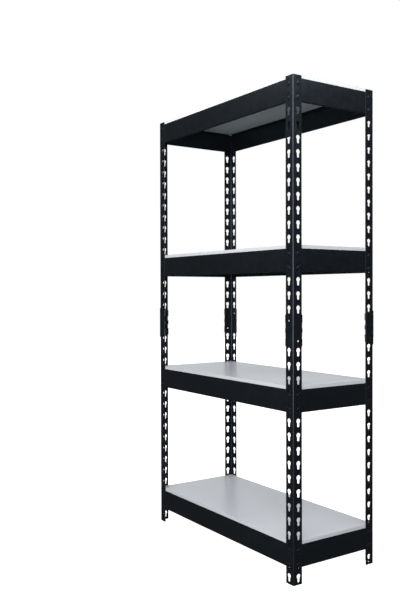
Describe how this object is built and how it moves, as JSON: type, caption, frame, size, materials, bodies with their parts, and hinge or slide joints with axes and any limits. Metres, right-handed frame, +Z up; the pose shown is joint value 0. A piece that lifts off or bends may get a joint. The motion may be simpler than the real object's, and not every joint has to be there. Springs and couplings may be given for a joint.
{
  "type": "boltless steel shelving",
  "caption": "Freestanding rack of punched angle posts with splice sleeves, keyhole-hung rivet beams on every side and loose lift-out boards.",
  "frame": {"origin": "floor level at the centre of the plan, midway between the four posts", "axes": "+Z up, X along the long side, Y along the depth with the front at -Y"},
  "size_m": [0.9196, 0.4046, 1.8033],
  "materials": {
    "post_coat": "satin black powder coat",
    "splice_coat": "satin black powder coat",
    "beam_coat": "satin black powder coat",
    "board_melamine": "pale grey-white melamine face on particle board"
  },
  "bodies": {
    "lower_frame": {"lower_post_fl": "post_coat", "lower_post_fr": "post_coat", "lower_post_rl": "post_coat", "lower_post_rr": "post_coat", "splice_fl": "splice_coat", "splice_fr": "splice_coat", "splice_rl": "splice_coat", "splice_rr": "splice_coat"},
    "upper_frame": {"upper_post_fl": "post_coat", "upper_post_fr": "post_coat", "upper_post_rl": "post_coat", "upper_post_rr": "post_coat"},
    "level_1": {"beam_front_1": "beam_coat", "beam_right_1": "beam_coat", "beam_rear_1": "beam_coat", "beam_left_1": "beam_coat"},
    "shelf_board_1": {"board_1": "board_melamine"},
    "level_2": {"beam_front_2": "beam_coat", "beam_right_2": "beam_coat", "beam_rear_2": "beam_coat", "beam_left_2": "beam_coat"},
    "shelf_board_2": {"board_2": "board_melamine"},
    "level_3": {"beam_front_3": "beam_coat", "beam_right_3": "beam_coat", "beam_rear_3": "beam_coat", "beam_left_3": "beam_coat"},
    "shelf_board_3": {"board_3": "board_melamine"},
    "level_4": {"beam_front_4": "beam_coat", "beam_right_4": "beam_coat", "beam_rear_4": "beam_coat", "beam_left_4": "beam_coat"},
    "shelf_board_4": {"board_4": "board_melamine"}
  },
  "joints": [
    {"name": "upper_frame_lift", "type": "slide", "parent": "lower_frame", "child": "upper_frame", "axis": [0, 0, 1], "range_m": [0, 0.07]},
    {"name": "level_1_unhook", "type": "slide", "parent": "lower_frame", "child": "level_1", "axis": [0, 0, 1], "range_m": [0, 0.008]},
    {"name": "board_1_lift", "type": "slide", "parent": "level_1", "child": "shelf_board_1", "axis": [0, 0, 1], "range_m": [0, 0.12]},
    {"name": "level_2_unhook", "type": "slide", "parent": "lower_frame", "child": "level_2", "axis": [0, 0, 1], "range_m": [0, 0.008]},
    {"name": "board_2_lift", "type": "slide", "parent": "level_2", "child": "shelf_board_2", "axis": [0, 0, 1], "range_m": [0, 0.12]},
    {"name": "level_3_unhook", "type": "slide", "parent": "upper_frame", "child": "level_3", "axis": [0, 0, 1], "range_m": [0, 0.008]},
    {"name": "board_3_lift", "type": "slide", "parent": "level_3", "child": "shelf_board_3", "axis": [0, 0, 1], "range_m": [0, 0.12]},
    {"name": "level_4_unhook", "type": "slide", "parent": "upper_frame", "child": "level_4", "axis": [0, 0, 1], "range_m": [0, 0.008]},
    {"name": "board_4_lift", "type": "slide", "parent": "level_4", "child": "shelf_board_4", "axis": [0, 0, 1], "range_m": [0, 0.12]}
  ]
}
